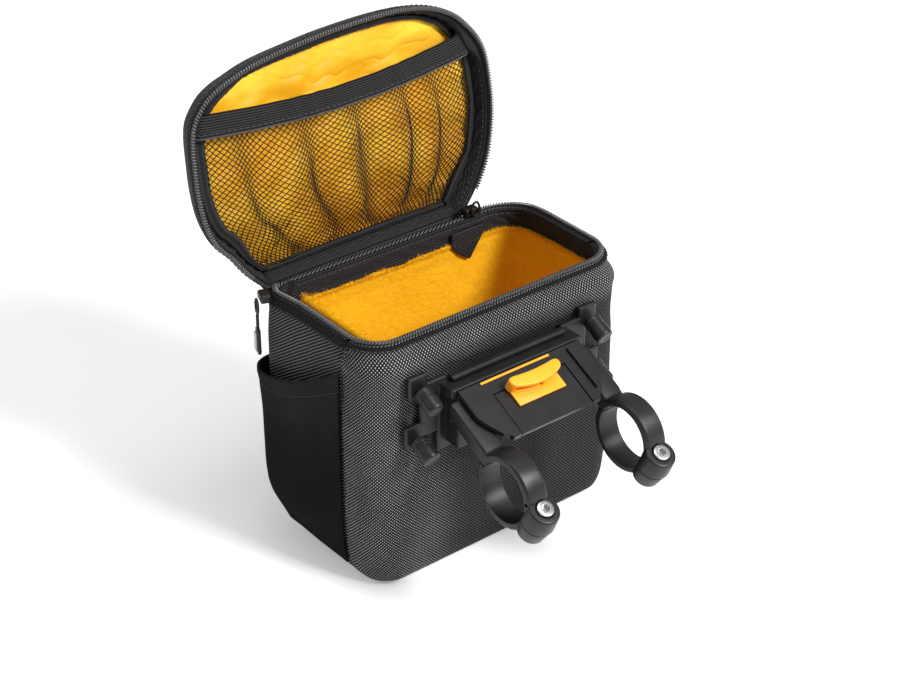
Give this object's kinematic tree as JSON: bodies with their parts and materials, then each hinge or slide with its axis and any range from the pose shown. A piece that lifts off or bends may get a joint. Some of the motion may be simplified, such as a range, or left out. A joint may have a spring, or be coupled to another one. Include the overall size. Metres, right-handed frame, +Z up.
{
  "type": "bicycle handlebar bag",
  "caption": "Boxy padded handlebar bag with a hinged zip lid held open, net lid pocket, side pockets and a clamp-on quick-release bracket.",
  "frame": {"origin": "middle of the bag's flat base, on its underside", "axes": "+Z up, +X along the handlebar to the right as the rider sees it, +Y away from the rider, towards the lid's hinge"},
  "size_m": [0.2049, 0.2062, 0.2618],
  "materials": {
    "ballistic_cloth": "coarse two-tone basket weave",
    "ribbed_cloth": "fine ribbed weave",
    "stretch_knit": "plain matt stretch knit",
    "yellow_fleece": "brushed fleece",
    "yellow_nylon": "smooth nylon, softly wrinkled",
    "net": "open diamond net",
    "black_tape": "woven tape and ribbed elastic",
    "zip_coil": "moulded coil",
    "black_plastic": "satin moulded",
    "yellow_plastic": "satin moulded",
    "bolt_steel": "bright",
    "reflective_grey": "pearly"
  },
  "bodies": {
    "bag": {"shell": "ballistic_cloth", "lining": "yellow_fleece", "rim_facing": "black_tape", "rim_band": "black_tape", "rim_coil": "zip_coil", "side_pocket_left": "stretch_knit", "side_pocket_right": "stretch_knit", "divider": "yellow_fleece", "lid_shell": "ribbed_cloth", "lid_lining": "yellow_nylon", "lid_facing": "black_tape", "lid_coil": "zip_coil", "lid_net": "net", "lid_elastic": "black_tape", "hinge_strip": "black_tape", "hinge_gusset": "black_tape", "zip_slider_left": "black_plastic", "zip_ring_left": "black_plastic", "zip_pull": "black_plastic", "zip_inset": "reflective_grey", "zip_slider_right": "black_plastic", "zip_ring_right": "black_plastic", "back_plate": "black_plastic", "ledge_bar": "black_plastic", "stud_upper_left": "black_plastic", "stud_upper_right": "black_plastic", "stud_lower_left": "black_plastic", "stud_lower_right": "black_plastic", "deck": "black_plastic", "deck_rib": "black_plastic", "deck_stripe": "yellow_plastic"},
    "release": {"release_tongue": "black_plastic", "release_tab": "yellow_plastic"},
    "bracket": {"bracket": "black_plastic", "clamp_cap_left": "black_plastic", "clamp_cap_right": "black_plastic", "clamp_bolt_left": "bolt_steel", "clamp_bolt_right": "bolt_steel"}
  },
  "joints": [
    {"name": "release_hinge", "type": "hinge", "parent": "bag", "child": "release", "pos_m": [-0.003, -0.09241, 0.09988], "axis": [1, 0, 0], "range_deg": [0, 8], "stiffness_Nm_per_rad": 0.5},
    {"name": "bracket_slide", "type": "slide", "parent": "bag", "child": "bracket", "axis": [0, -0.891, -0.454], "range_m": [0, 0.035]}
  ]
}
